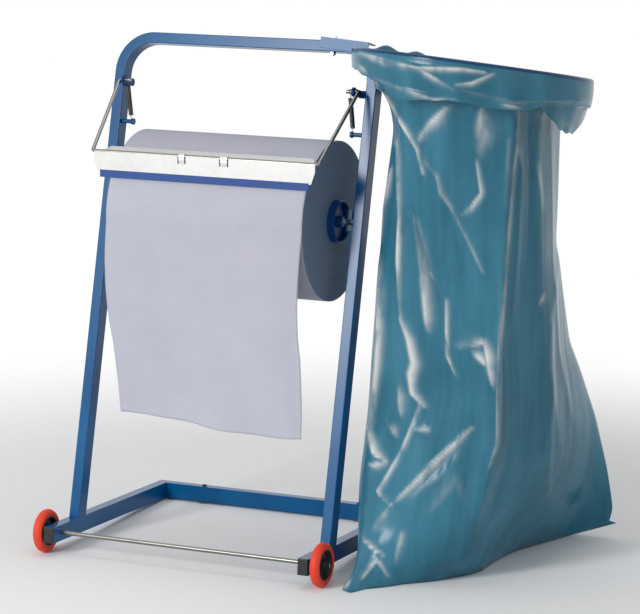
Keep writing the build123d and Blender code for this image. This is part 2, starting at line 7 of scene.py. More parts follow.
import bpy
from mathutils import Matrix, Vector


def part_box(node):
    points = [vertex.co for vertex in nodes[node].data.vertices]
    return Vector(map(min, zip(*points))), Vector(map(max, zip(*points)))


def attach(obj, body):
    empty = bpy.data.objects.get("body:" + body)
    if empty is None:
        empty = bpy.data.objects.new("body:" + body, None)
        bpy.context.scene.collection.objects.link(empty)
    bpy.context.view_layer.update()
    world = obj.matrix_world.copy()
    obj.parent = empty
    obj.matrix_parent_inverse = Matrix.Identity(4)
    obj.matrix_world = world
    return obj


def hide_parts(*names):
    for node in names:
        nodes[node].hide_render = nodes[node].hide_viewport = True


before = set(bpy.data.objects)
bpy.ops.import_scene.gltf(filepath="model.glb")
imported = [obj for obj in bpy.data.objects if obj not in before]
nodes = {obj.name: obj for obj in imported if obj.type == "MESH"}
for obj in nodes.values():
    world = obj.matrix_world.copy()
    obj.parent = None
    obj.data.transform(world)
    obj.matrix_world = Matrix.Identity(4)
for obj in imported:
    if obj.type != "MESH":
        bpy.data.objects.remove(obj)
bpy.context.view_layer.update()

# %% [markdown]
# Blender's own modules build and change meshes, and numpy handles whole grids of
# points at once. Lengths that are given in millimetres are multiplied by MM.

# %% The tools of the lesson
import bmesh
import bpy
import math
import numpy as np
from mathutils import Matrix, Vector

scene = bpy.context.scene
MM = 0.001


def placed(name, data):
    """A new object in the scene, at the origin."""
    thing = bpy.data.objects.new(name, data)
    scene.collection.objects.link(thing)
    return thing


def point_along(thing, direction):
    """Turns a camera or lamp so that it looks along a direction."""
    thing.rotation_mode = "QUATERNION"
    thing.rotation_quaternion = direction.to_track_quat("-Z", "Y")


print("helpers ready, Blender", bpy.app.version_string)

# %% [markdown]
# The photograph was taken from far away with a long lens, from the stand's right
# front. A camera at that place, with that lens, gives the same perspective, so every
# part can be set against the picture point by point.

# %% Camera
VIEW_TURN = math.radians(23.904)
VIEW_DROP = math.radians(11.2425)
CAMERA_PLACE = Vector((2.27804, -4.52142, 1.48746))
LENS = 163.31
SENSOR = 36.0

look = Vector((-math.sin(VIEW_TURN) * math.cos(VIEW_DROP),
               math.cos(VIEW_TURN) * math.cos(VIEW_DROP),
               -math.sin(VIEW_DROP)))
camera_data = bpy.data.cameras.new("camera")
camera_data.lens = LENS
camera_data.sensor_width = SENSOR
camera_data.clip_end = 100.0
camera = placed("camera", camera_data)
camera.location = CAMERA_PLACE
point_along(camera, look)
scene.camera = camera
print("camera at", [round(v, 3) for v in CAMERA_PLACE])

# %% [markdown]
# A finish is a small set of shader nodes. A first class wraps a socket, so that shader
# maths reads like ordinary sums.

# %% Shader maths as plain sums
def operators(operation):
    """An operator with the amount on its left, and the one with it on its right."""
    def forward(self, other):
        return self.maths(operation, self, other)

    def reflected(self, other):
        return self.maths(operation, other, self)

    return forward, reflected


class Amount:
    """A number that varies over a surface, taken from a node's output."""

    def __init__(self, finish, socket):
        self.finish = finish
        self.socket = socket

    def maths(self, operation, first, second=0.0):
        return self.finish.node("Math", {0: first, 1: second}, operation=operation)

    __add__, __radd__ = operators("ADD")
    __sub__, __rsub__ = operators("SUBTRACT")
    __mul__, __rmul__ = operators("MULTIPLY")
    __pow__, __rpow__ = operators("POWER")

    def between(self, low, high):
        """0 below low, 1 above high, and smooth in between."""
        return self.finish.node("MapRange", {"Value": self, "From Min": low, "From Max": high},
                                interpolation_type="SMOOTHSTEP")


print("shader maths ready")

# %% [markdown]
# A second class starts a material and adds any node. Every finish is then a few lines:
# two tones, a noise that mixes them, a roughness that varies, and a fine relief.

# %% Finishes
class Finish:
    """One material: its shader, and one method for every other node."""

    def __init__(self, name, colour, roughness, metallic=0.0, bump=0.0005):
        self.material = bpy.data.materials.new(name)
        self.material.use_nodes = True
        self.tree = self.material.node_tree
        self.shader = self.tree.nodes["Principled BSDF"]
        self.shader.inputs["Base Color"].default_value = (*colour, 1.0)
        self.shader.inputs["Roughness"].default_value = roughness
        self.shader.inputs["Metallic"].default_value = metallic
        self.place = self.node("TexCoord", out="Object")
        self.bump_depth = bump

    def node(self, kind, sockets=None, out=0, stops=None, **settings):
        made = self.tree.nodes.new("ShaderNode" + kind)
        for name, value in settings.items():
            setattr(made, name, value)
        if stops:
            while len(made.color_ramp.elements) < len(stops):
                made.color_ramp.elements.new(0.5)
            for element, (position, colour) in zip(made.color_ramp.elements, stops):
                element.position = position
                element.color = (*colour, 1.0)
        for name, value in (sockets or {}).items():
            self.feed(made.inputs[name], value)
        return Amount(self, made.outputs[out])

    def feed(self, socket, value):
        if isinstance(value, Amount):
            self.tree.links.new(value.socket, socket)
        else:
            socket.default_value = value

    def noise(self, scale, detail=3.0, roughness=0.5, stretch=None):
        place = self.place
        if stretch:
            place = self.node("Mapping", {"Vector": self.place, "Scale": stretch})
        sockets = {"Vector": place, "Scale": scale, "Detail": detail, "Roughness": roughness}
        return self.node("TexNoise", sockets)

    def blend(self, share, low, high):
        """A colour between two colours."""
        def colour(value):
            return value if isinstance(value, Amount) else (*value, 1.0)
        return self.node("Mix", {0: share, 6: colour(low), 7: colour(high)}, out=2, data_type="RGBA")

    def colour(self, value):
        self.feed(self.shader.inputs["Base Color"], value)

    def roughness(self, value):
        self.feed(self.shader.inputs["Roughness"], value)

    def relief(self, height):
        """Fine relief in the shading: height 1 stands bump_depth proud."""
        sockets = {"Height": height, "Distance": self.bump_depth, "Strength": 1.0}
        self.feed(self.shader.inputs["Normal"], self.node("Bump", sockets))

    def level(self, name, value):
        """A constant, set on the shader's own socket."""
        self.shader.inputs[name].default_value = value


def both(*names):
    """The left and the right one of each part."""
    return [side + "_" + name for name in names for side in ("left", "right")]


def dress(finish, *names):
    """Gives CAD parts a finish, without touching their meshes."""
    for name in names:
        materials = nodes[name].data.materials
        materials.clear()
        materials.append(finish.material)


print("finishes ready to be mixed")

# %% [markdown]
# The studio is plain: a pale floor that fades out into a white background, one large
# soft box at the front left and weaker ones at the right and above. The background is
# white only to the camera, to reflections and through glass, so it lights nothing.

# %% Studio
WORLD_LEVEL = 0.44
FLOOR_CENTRE = (0.2, 0.2)
FLOOR_SOLID = 0.75
FLOOR_FADED = 1.9
FLOOR_COLOUR = (0.93, 0.93, 0.93)
# name, place, what it points at, width and height, watts
LAMPS = (("key", (-1.33, -3.5, 2.0), (0.2, 0.2, 0.5), (0.85, 1.3), 92.0),
         ("fill", (3.2, -1.2, 1.4), (0.2, 0.2, 0.5), (1.0, 2.0), 4.0),
         ("top", (0.3, 0.6, 3.4), (0.2, 0.2, 0.3), (2.0, 2.0), 20.0))

world = bpy.data.worlds.new("studio")
world.use_nodes = True
scene.world = world
tree = world.node_tree
tree.nodes.clear()
rays = tree.nodes.new("ShaderNodeLightPath")
strength = tree.nodes.new("ShaderNodeMix")
backdrop = tree.nodes.new("ShaderNodeBackground")
world_out = tree.nodes.new("ShaderNodeOutputWorld")
seen = rays.outputs["Is Camera Ray"]
for ray in ("Is Glossy Ray", "Is Transmission Ray"):
    either = tree.nodes.new("ShaderNodeMath")
    either.operation = "MAXIMUM"
    tree.links.new(seen, either.inputs[0])
    tree.links.new(rays.outputs[ray], either.inputs[1])
    seen = either.outputs[0]
tree.links.new(seen, strength.inputs[0])
strength.inputs[2].default_value = WORLD_LEVEL
strength.inputs[3].default_value = 1.0
tree.links.new(strength.outputs[0], backdrop.inputs["Strength"])
backdrop.inputs["Color"].default_value = (1.0, 1.0, 1.0, 1.0)
tree.links.new(backdrop.outputs[0], world_out.inputs["Surface"])

floor_mesh = bpy.data.meshes.new("floor")
floor_form = bmesh.new()
bmesh.ops.create_circle(floor_form, cap_ends=True, segments=96, radius=FLOOR_FADED + 0.1)
floor_form.to_mesh(floor_mesh)
floor_form.free()
floor_mesh.transform(Matrix.Translation((*FLOOR_CENTRE, 0.0)))
floor = placed("floor", floor_mesh)

ground = Finish("pale_floor", FLOOR_COLOUR, 0.9)
centred = ground.node("VectorMath", {0: ground.place, 1: (*FLOOR_CENTRE, 0.0)},
                      operation="SUBTRACT")
distance = ground.node("VectorMath", {0: centred}, out="Value", operation="LENGTH")
faded = distance.between(FLOOR_SOLID, FLOOR_FADED)
clear = ground.tree.nodes.new("ShaderNodeBsdfTransparent")
fade = ground.tree.nodes.new("ShaderNodeMixShader")
ground.feed(fade.inputs[0], faded)
ground.tree.links.new(ground.shader.outputs[0], fade.inputs[1])
ground.tree.links.new(clear.outputs[0], fade.inputs[2])
ground.tree.links.new(fade.outputs[0], ground.tree.nodes["Material Output"].inputs["Surface"])
ground.level("Specular IOR Level", 0.0)
floor_mesh.materials.append(ground.material)

for name, place, aim, size, power in LAMPS:
    lamp = bpy.data.lights.new(name, "AREA")
    lamp.shape = "RECTANGLE"
    lamp.size, lamp.size_y = size
    lamp.energy = power
    box = placed(name, lamp)
    box.location = place
    point_along(box, Vector(aim) - Vector(place))

scene.view_settings.view_transform = "Standard"
print("studio with", len(LAMPS), "lamps")

# %% [markdown]
# The tubes are sprayed a strong blue. Sprayed paint has a faint orange peel, looks a
# little lighter where it catches light at the bends, and collects dust in places.

# %% Frame paint
paint = Finish("frame_paint", (0.0, 0.095, 0.26), 0.24, bump=0.0002)
peel = paint.noise(700.0, 2.0)
patch = paint.noise(7.0, 2.0, 0.5)
paint.colour(paint.blend(patch.between(0.3, 0.7), (0.0, 0.082, 0.235), (0.0, 0.104, 0.285)))
paint.roughness(0.18 + 0.12 * patch)
paint.relief(peel * 0.12)
paint.level("Specular IOR Level", 0.26)
dress(paint, "upper_frame", "base_frame", "bag_holder", *both("roll_bracket", "spring_pin"))

# %% [markdown]
# Moulded plastic has a fine even grain and a soft sheen. The black pieces are nearly
# neutral, the roll's hubs and the pivots are a deep blue, and the strip on the tear
# plate is a lighter blue that was drawn along its length. The red tyres are dustier.

# %% Plastics and rubber
black = Finish("black_plastic", (0.012, 0.012, 0.014), 0.42, bump=0.0003)
grain = black.noise(1400.0, 2.0)
black.colour(black.blend(black.noise(40.0), (0.009, 0.009, 0.011), (0.020, 0.020, 0.022)))
black.roughness(0.36 + 0.16 * grain)
black.relief(grain * 0.4)
dress(black, *both("end_cap", "wheel_hub", "axle_cap", "glide_screw"))

blue = Finish("blue_plastic", (0.004, 0.045, 0.19), 0.38, bump=0.0003)
moulded = blue.noise(1100.0, 2.0)
blue.colour(blue.blend(blue.noise(30.0), (0.003, 0.040, 0.17), (0.006, 0.060, 0.24)))
blue.roughness(0.32 + 0.14 * moulded)
blue.relief(moulded * 0.35)
blue.level("Specular IOR Level", 0.12)
dress(blue, *both("roll_hub", "pivot_eye"))

strip_blue = Finish("strip_plastic", (0.045, 0.095, 0.33), 0.4, bump=0.0002)
drawn_grain = strip_blue.noise(500.0, 2.0, stretch=(0.05, 1.0, 1.0))
strip_blue.colour(strip_blue.blend(drawn_grain, (0.030, 0.082, 0.275), (0.042, 0.102, 0.325)))
strip_blue.roughness(0.34 + 0.12 * drawn_grain)
strip_blue.relief(drawn_grain * 0.3)
strip_blue.level("Specular IOR Level", 0.3)
dress(strip_blue, "tear_edge_strip")

tread = Finish("red_rubber", (0.80, 0.055, 0.012), 0.5, bump=0.0004)
dust = tread.noise(60.0, 5.0, 0.65)
tread.colour(tread.blend(dust.between(0.45, 0.8), (0.80, 0.045, 0.010), (0.62, 0.070, 0.030)))
tread.roughness(0.42 + 0.25 * dust)
tread.relief(tread.noise(800.0, 3.0) * 0.5)
dress(tread, *both("wheel_tyre"))

glide_rubber = Finish("grey_rubber", (0.08, 0.08, 0.085), 0.7, bump=0.0004)
scuff = glide_rubber.noise(300.0, 4.0)
glide_rubber.colour(glide_rubber.blend(scuff, (0.05, 0.05, 0.055), (0.11, 0.11, 0.115)))
glide_rubber.relief(scuff * 0.5)
dress(glide_rubber, *both("glide"))

# %% [markdown]
# Zinc plating is a bright, slightly blue skin with a soft cloudy spangle. Drawn bare
# steel is greyer and carries fine lines along its length.

# %% Metals
zinc = Finish("zinc", (0.86, 0.87, 0.89), 0.3, metallic=1.0, bump=0.0002)
spangle = zinc.node("TexVoronoi", {"Vector": zinc.place, "Scale": 90.0, "Randomness": 1.0},
                    feature="F1")
cloud = zinc.noise(25.0, 4.0)
zinc.colour(zinc.blend(cloud.between(0.3, 0.75), (0.64, 0.635, 0.62), (0.59, 0.59, 0.58)))
zinc.roughness(0.24 + 0.22 * cloud + 0.05 * spangle)
zinc.relief(zinc.noise(400.0, 3.0) * 0.3)
dress(zinc, "tear_plate", "roll_rod", "holder_bolt", "holder_nut", "holder_washer",
      *both("wheel_washer"))

steel = Finish("bare_steel", (0.22, 0.22, 0.20), 0.3, metallic=1.0, bump=0.0002)
drawn = steel.noise(120.0, 4.0, 0.6, stretch=(0.06, 3.0, 3.0))
steel.colour(steel.blend(drawn, (0.15, 0.15, 0.135), (0.30, 0.30, 0.285)))
steel.roughness(0.2 + 0.25 * drawn)
steel.relief(drawn * 0.5)
dress(steel, "tear_bow", "wheel_axle")

spring_wire = Finish("spring_steel", (0.10, 0.10, 0.11), 0.35, metallic=1.0, bump=0.0002)
oiled = spring_wire.noise(220.0, 3.0)
spring_wire.colour(spring_wire.blend(oiled, (0.06, 0.06, 0.065), (0.16, 0.16, 0.17)))
spring_wire.roughness(0.28 + 0.2 * oiled)
dress(spring_wire, *both("spring"))
print("hard finishes ready")

# %% [markdown]
# Wiping paper is soft and dull, with a fine embossed grid. On the roll it shows as a smooth drum; at
# the ends every layer is an edge, so the face is a fine spiral. The roll's finish carries painted
# shade: its drum is painted darker than the hanging paper, and its ends a dark slate.

# %% Paper finishes
ROLL_CENTRE = (0.0, 0.230497, 0.615)
ROLL_SHIFT = 0.007
ROLL_HALF = 0.195
END_OUTER, END_INNER = 0.0004, 0.0012

paper = Finish("paper", (0.50, 0.51, 0.60), 0.9, bump=0.0006)
fibre = paper.noise(1500.0, 3.0, 0.7)
mottle = paper.noise(18.0, 4.0, 0.6)
emboss = {"Vector": paper.place, "Scale": 220.0, "Distortion": 0.4}
across = paper.node("TexWave", emboss, bands_direction="X", wave_type="BANDS")
down = paper.node("TexWave", emboss, bands_direction="Z", wave_type="BANDS")
paper.colour(paper.blend(mottle.between(0.25, 0.8), (0.515, 0.520, 0.610), (0.545, 0.550, 0.635)))
paper.relief(fibre * 0.4 + across * down * 0.3)
paper.level("Sheen Weight", 0.15)

roll = Finish("roll_paper", (0.40, 0.41, 0.48), 0.85, bump=0.0004)
from_axis = roll.node("VectorMath", {0: roll.place, 1: ROLL_CENTRE}, operation="SUBTRACT")
along_x, part_y, part_z = [roll.node("SeparateXYZ", {0: from_axis}, out=axis) for axis in "XYZ"]
radius = (part_y * part_y + part_z * part_z) ** 0.5
ringed = roll.node("CombineXYZ", {"X": radius})
layers = roll.node("TexNoise", {"Vector": ringed, "Scale": 1400.0, "Detail": 3.0})
bands = roll.node("TexNoise", {"Vector": ringed, "Scale": 60.0, "Detail": 2.0})
from_middle = along_x.maths("ABSOLUTE", along_x - ROLL_SHIFT)
is_end = from_middle.between(ROLL_HALF - END_INNER, ROLL_HALF - END_OUTER)
# Painted shade: the ends are a dark slate, and the drum a darker tone of the paper than the hanging
# sheet.
end_painted_shade = roll.blend(bands.between(0.2, 0.8), (0.140, 0.195, 0.275), (0.165, 0.225, 0.310))
drum_painted_shade = roll.blend(roll.noise(20.0), (0.395, 0.400, 0.470), (0.455, 0.460, 0.525))
roll.colour(roll.blend(is_end, drum_painted_shade, end_painted_shade))
roll.relief(layers * is_end + (1 - is_end) * roll.noise(1300.0, 3.0, 0.7))
dress(roll, "paper_roll")

card = Finish("card", (0.36, 0.28, 0.19), 0.85, bump=0.0005)
fibres = card.noise(500.0, 4.0)
card.colour(card.blend(fibres, (0.30, 0.23, 0.15), (0.42, 0.33, 0.23)))
card.relief(fibres * 0.5)
dress(card, "roll_core")
print("paper ready")

# %% [markdown]
# Thin film has a colour of its own and a high gloss. The mesh has its folds, and the finish adds the
# small crinkles below them. Where a crease catches the light, a painted highlight turns the film's
# colour pale; it is part of the colour and does not move with the view or the light. The mesh says
# where, in a point attribute. A second attribute, over_rod, says where the dark rod of the ring shows
# through.

# %% Bag film
film = Finish("bag_film", (0.015, 0.14, 0.22), 0.2, bump=0.0010)
tint = film.noise(5.0, 4.0, 0.6)
streaks = film.noise(9.0, 3.0, 0.5, stretch=(3.0, 3.0, 0.35))
crinkle = film.noise(42.0, 4.0, 0.55, stretch=(1.0, 1.0, 0.45))
broken = film.noise(26.0, 3.0, 0.5, stretch=(1.0, 1.0, 0.5))
# Painted highlights: where the crests of the creases catch the light, read from a point attribute.
painted_highlight = film.node("Attribute", out="Fac", attribute_name="painted_highlight")
over_rod = film.node("Attribute", out="Fac", attribute_name="over_rod")
plain_film = film.blend((tint * 0.5 + streaks * 0.5).between(0.35, 0.65),
                        (0.024, 0.138, 0.210), (0.046, 0.205, 0.300))
# The painted highlight blends the film's colour towards near white along the crests.
shine = (painted_highlight * (0.30 + 0.85 * broken.between(0.32, 0.62))) ** 1.3
highlighted_film = film.blend(shine, plain_film, (0.66, 0.69, 0.68))
film.colour(film.blend(over_rod, highlighted_film, (0.0, 0.035, 0.12)))
film.roughness(0.15 + 0.14 * streaks)
film.relief(crinkle * 0.5)
film.level("Specular IOR Level", 0.22)
print("film ready")

# %% [markdown]
# Each soft or fine piece is a mesh that is computed in its place. The helpers below
# turn points and faces into a piece, name the body that it moves with, and say which
# CAD part it stands for. A solidify modifier gives a single layer its thickness.

# %% Making a mesh piece
def show(name, mesh, body, replaced=()):
    """Puts a mesh into the scene as a piece that moves with a CAD body."""
    piece = placed(name, mesh)
    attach(piece, body)
    if replaced:
        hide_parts(*replaced)
    return piece


def new_piece(name, points, faces, finish, replaced=()):
    """A smooth mesh of the stand from its points and faces."""
    mesh = bpy.data.meshes.new(name)
    mesh.from_pydata([tuple(p) for p in points], [], faces)
    mesh.update()
    mesh.shade_smooth()
    mesh.materials.append(finish.material)
    return show(name, mesh, "stand", replaced)


def grid_faces(rows, columns, closed=False):
    """Quads of a grid of points, row after row; a closed grid joins its last column."""
    faces = []
    last = columns if closed else columns - 1
    for row in range(rows - 1):
        for column in range(last):
            right = (column + 1) % columns
            faces.append((row * columns + column, row * columns + right,
                          (row + 1) * columns + right, (row + 1) * columns + column))
    return faces


def thicken(piece, thickness):
    """Half of the thickness goes to each side of the mesh."""
    layer = piece.modifiers.new("wall", "SOLIDIFY")
    layer.thickness = thickness
    layer.offset = 0.0


def smooth_step(value, low, high):
    """0 below low, 1 above high, and smooth in between."""
    share = np.clip((value - low) / (high - low), 0.0, 1.0)
    return share * share * (3.0 - 2.0 * share)


print("mesh helpers ready")

# %% [markdown]
# The bag hangs from its ring as a wide tube of film. Seen in plan, each height has a
# few flat panels that meet at soft corners, and the corners run down the film as its
# main folds. So the shape is built from those fold lines: each one is a few points of
# height, place across the view and place towards the viewer.

# %% Fold lines of the bag, in millimetres
RING_CENTRE = np.array([453.0, 262.0, 907.0])
RING_RADIUS = 210.0
RING_FALL = math.tan(math.radians(4.4))
RING_BACK = math.tan(math.radians(9.3))
BAG_AXIS = np.array([455.0, 268.0])
ACROSS = np.array([math.cos(VIEW_TURN), math.sin(VIEW_TURN)])
NEARER = np.array([math.sin(VIEW_TURN), -math.cos(VIEW_TURN)])

# Each fold: its name, how sharp it is, how far the panel after it bulges, and its
# points from the rim down, as (height, across, nearer).
FOLDS = [
    ("left side", 0.55, 8.0, [(880, -176, -8), (845, -150, 6), (800, -141, 8), (740, -150, 12),
     (640, -162, 20), (520, -174, 30), (380, -186, 40), (280, -192, 50), (160, -206, 70),
     (90, -207, 100), (45, -208, 150), (16, -224, 196), (0, -240, 205)]),
    ("left crease", 0.6, 4.0, [(880, -160, 70), (845, -138, 74), (800, -132, 70), (686, -136, 88),
     (515, -135, 108), (398, -111, 122), (320, -96, 134), (200, -150, 130), (100, -164, 152),
     (45, -185, 176), (0, -200, 192)]),
    ("under the flap", 0.9, 0.0, [(880, -146, 96), (845, -122, 96), (793, -118, 100), (720, -112, 104),
     (612, -88, 116), (521, -58, 132), (430, -48, 146), (360, -36, 158), (200, -90, 168),
     (100, -110, 174), (45, -120, 176), (0, -130, 162)]),
    ("flap edge", 0.9, 5.0, [(880, -146, 116), (850, -148, 106), (793, -130, 118), (720, -124, 124),
     (612, -97, 136), (521, -66, 150), (430, -50, 156), (360, -20, 166), (200, -60, 178),
     (119, -74, 186), (45, -92, 176), (0, -100, 152)]),
    ("front", 0.1, 6.0, [(880, -40, 196), (830, -30, 160), (720, -28, 156), (600, -24, 160),
     (450, -6, 172), (360, 6, 178), (219, -10, 188), (119, -28, 184), (45, -34, 158),
     (0, -36, 118)]),
    ("ridge", 1.0, -5.0, [(880, 62, 196), (835, 57, 176), (730, 51, 176), (645, 45, 178),
     (453, 36, 190), (269, 34, 204), (228, 24, 202), (119, 4, 176), (45, 6, 128),
     (0, 20, 74)]),
    ("right front", 0.5, 3.0, [(880, 120, 150), (822, 104, 118), (745, 106, 112), (670, 112, 112),
     (492, 120, 116), (322, 130, 112), (219, 134, 88), (119, 128, 40), (45, 104, -18),
     (0, 90, -55)]),
    ("right side", 0.6, 8.0, [(880, 186, 10), (830, 160, -12), (783, 157, -20), (665, 155, -22),
     (585, 152, -24), (544, 161, -28), (487, 170, -34), (396, 185, -60), (337, 210, -85),
     (242, 245, -125), (139, 274, -180), (27, 303, -262), (0, 296, -262)]),
    ("right back", 0.3, 10.0, [(880, 140, -140), (830, 112, -128), (700, 104, -124), (500, 112, -136),
     (328, 140, -165), (219, 165, -215), (119, 188, -262), (45, 184, -286), (0, 172, -276)]),
    ("back", 0.2, 12.0, [(880, 0, -196), (830, 4, -168), (700, 2, -160), (500, -4, -164),
     (300, 2, -178), (119, 0, -185), (45, -12, -174), (0, -24, -155)]),
    ("left back", 0.3, 8.0, [(880, -140, -140), (830, -104, -112), (700, -108, -104), (500, -128, -96),
     (300, -152, -84), (180, -166, -64), (119, -174, -40), (45, -182, 10), (0, -186, 40)]),
]
print(len(FOLDS), "fold lines")

# %% [markdown]
# Between two folds lies a panel, with as many columns of points as its width needs.
# Every row of the wall is one closed loop through the folds at its height, and is then
# evened out: little at a sharp fold, more in between.

# %% The bag's wall from its fold lines
PANEL_STEPS = (34, 26, 10, 50, 46, 34, 34, 16, 16, 16, 16)
WALL_STEPS = 145
ROWS_TOP, ROWS_FOOT = 880.0, 40.0
FOOT_STEPS = 8
FULL_BULGE = 80.0


def fold_track(track, heights):
    """A fold's place across and nearer at each height, between its points."""
    track = np.array(sorted(track), float)
    return np.stack([np.interp(heights, track[:, 0], track[:, axis]) for axis in (1, 2)], 1)


def eased(values, rounds, weight):
    """Evens a closed loop of points out, more where weight is 1."""
    for _ in range(rounds):
        middle = (np.roll(values, 1, 0) + np.roll(values, -1, 0)) / 2
        values = values + (middle - values) * weight
    return values


def eased_down(grid, rounds):
    """Evens each column of a grid out from row to row."""
    for _ in range(rounds):
        middle = grid.copy()
        middle[1:-1] = (grid[:-2] + grid[2:]) / 2
        grid = grid + (middle - grid) * 0.5
    return grid


def wall_loop(corners, softness):
    """One closed loop through the corners: panels that bulge, corners that soften."""
    points = []
    weights = []
    count = len(corners)
    middle = corners.mean(0)
    for i in range(count):
        here, there = corners[i], corners[(i + 1) % count]
        side = there - here
        out = np.array([side[1], -side[0]])
        length = max(np.linalg.norm(side), 1e-6)
        out = out / length
        if np.dot(out, (here + there) / 2 - middle) < 0:
            out = -out
        bulge = FOLDS[i][2] * min(1.0, length / FULL_BULGE)
        steps = PANEL_STEPS[i]
        for step in range(steps):
            share = step / steps
            points.append(here + side * share + out * bulge * 4 * share * (1 - share))
            near = min(share, 1 - share) * steps
            hard = FOLDS[i][1] if share < 0.5 else FOLDS[(i + 1) % count][1]
            weights.append(softness * (1 - hard * max(0.0, 1 - near / 4.0)))
    return eased(np.array(points), 40, np.array(weights)[:, None])


heights = np.concatenate([np.linspace(ROWS_TOP, ROWS_FOOT, WALL_STEPS),
                          np.linspace(34, 2, FOOT_STEPS)])
tracks = np.stack([fold_track(points, heights) for _, _, _, points in FOLDS], 1)
tracks = eased_down(tracks, 6)
loops = np.stack([wall_loop(corners, 0.5) for corners in tracks])
columns = loops.shape[1]
print("bag wall", loops.shape[0], "rows of", columns, "points")

# %% [markdown]
# On top of the panels come the sharp creases, where the film was folded flat or is
# pulled. Each crease is a short line of points, drawn on the side that faces the viewer
# or on the far side. A negative rise makes a valley.

# %% Crease lines
# (rise, half width, strength of the painted highlight along it, points of height and place across)
SIDE_CREASES = [
    (5, 9, 0, [(870, 44), (740, 72), (600, 66), (470, 58)]),
    (-4, 8, 0, [(860, 86), (720, 92), (560, 88)]),
    (4, 7, 0, [(850, 128), (700, 132), (540, 136), (400, 150), (260, 182)]),
    (-6, 14, 0, [(820, -100), (700, -60), (560, -14), (440, 20)]),
    (-6, 12, 0, [(270, -20), (215, -72), (165, -120)]),
    (-4, 12, 0, [(260, 60), (160, 40), (60, 10)]),
    (4, 10, 0, [(560, 150), (470, 130), (380, 128), (200, 160)]),
    (3, 2.5, 1, [(854, -156), (808, -127), (774, -106), (734, -97)]),
    (3, 6, 0.95, [(853, -57), (825, -81), (792, -104)]),
    (2, 10, 0.8, [(851, 2), (812, 1), (778, -2)]),
    (2, 3.5, 0.8, [(760, -5), (703, 4), (677, -15), (663, -30)]),
    (4, 2.2, 0.6, [(855, 64), (757, 57), (574, 45), (470, 38), (413, 35), (268, 34), (227, 22)]),
    (3, 3, 0.4, [(797, 49), (683, 44)]),
    (4, 3, 1, [(778, -139), (644, -135), (575, -138), (467, -132)]),
    (4, 6, 1, [(469, -132), (437, -119), (395, -110), (372, -116), (340, -112), (321, -92)]),
    (4, 6, 0.9, [(647, -109), (578, -98), (476, -88), (455, -85)]),
    (4, 2.5, 0.9, [(730, -148), (600, -168)]),
    (4, 4.5, 1, [(568, -168), (459, -170), (377, -173), (266, -184)]),
    (2, 3, 0.55, [(755, -94), (727, -73), (698, -66), (675, -49), (633, -26), (567, 6)]),
    (3, 2, 0.9, [(513, -54), (413, -52), (379, -36)]),
    (3, 6, 0.95, [(432, -32), (443, 12)]),
    (3, 6, 0.95, [(444, 12), (410, 19), (372, 25)]),
    (2, 6, 0.9, [(424, -9), (403, 17)]),
    (3, 5, 0.8, [(352, -134), (301, -131)]),
    (2, 5, 0.6, [(279, -153), (262, -139)]),
    (5, 4.5, 1, [(292, -9), (219, -79), (151, -141)]),
    (5, 5, 0.9, [(145, -147), (99, -178)]),
    (3, 1.8, 0.85, [(319, -99), (280, -113), (235, -131), (166, -169), (160, -172), (140, -147)]),
    (4, 5, 1, [(265, -188), (225, -178), (214, -156)]),
    (4, 4, 1, [(214, -156), (202, -187)]),
    (3, 4, 0.8, [(280, -110), (276, -82)]),
    (3, 4.5, 0.95, [(100, -127), (48, -141)]),
    (3, 3, 0.9, [(76, -196), (58, -164)]),
    (3, 1.8, 0.9, [(20, -198), (49, -173), (22, -156)]),
    (2, 4, 0.8, [(4, -234), (15, -221)]),
    (3, 3, 0.12, [(459, 133), (132, 139)]),
    (2, 9, 0.22, [(140, -79), (196, -36), (153, -19)]),
    (2, 1.8, 0.6, [(745, 105), (667, 113)]),
    (2, 3.5, 0.75, [(517, 118), (502, 111)]),
]
FAR_CREASES = [
    (6, 5, 0.7, [(860, -60), (600, -70), (400, -100), (200, -140)]),
    (-5, 12, 0, [(860, 20), (640, 10), (420, 30)]),
    (6, 4, 0.6, [(850, 90), (640, 70), (420, 90), (180, 150)]),
    (5, 6, 0.8, [(330, 0), (260, 60), (180, 110)]),
    (-5, 9, 0, [(300, -40), (200, -60), (100, -30)]),
    (5, 4, 0.7, [(200, 20), (120, -50), (70, -110)]),
    (4, 4, 0.8, [(760, 140), (560, 128), (420, 150)]),
    (4, 3, 0.6, [(700, -130), (520, -120), (330, -150)]),
]
# the same on the collar, with the drop below the ring's top in place of the height
COLLAR_CREASES = [
    (2.5, 3.5, 0.9, [(7, -196), (19, -157), (20, -100), (12, -29), (12, 9)]),
    (3, 4, 0.9, [(7, -196), (21, -100), (49, -44)]),
    (3, 3, 0.8, [(41, -39), (34, -12), (13, 22)]),
    (3, 3.5, 0.7, [(49, -169), (60, -128), (72, -77), (66, -39)]),
    (2, 5, 0.6, [(30, -196), (40, -186)]),
    (4, 4, 0.25, [(49, -25), (54, 16), (59, 60), (50, 111), (35, 203)]),
    (-4, 5, 0, [(56, -25), (61, 16), (66, 60), (57, 111), (42, 203)]),
    (2, 1.8, 0.8, [(64, 40), (66, 72)]),
    (-4, 8, 0, [(63, 101), (93, 162)]),
    (3, 5, 0.3, [(70, 140), (96, 184)]),
]
COLLAR_FAR_CREASES = [
    (4, 4, 0.7, [(10, -150), (30, -80), (55, -30)]),
    (4, 3, 0.6, [(45, 20), (25, 80), (8, 140)]),
    (-4, 6, 0, [(40, -120), (48, 0), (40, 120)]),
]
print(len(SIDE_CREASES) + len(FAR_CREASES), "creases on the wall,",
      len(COLLAR_CREASES) + len(COLLAR_FAR_CREASES), "on the collar")
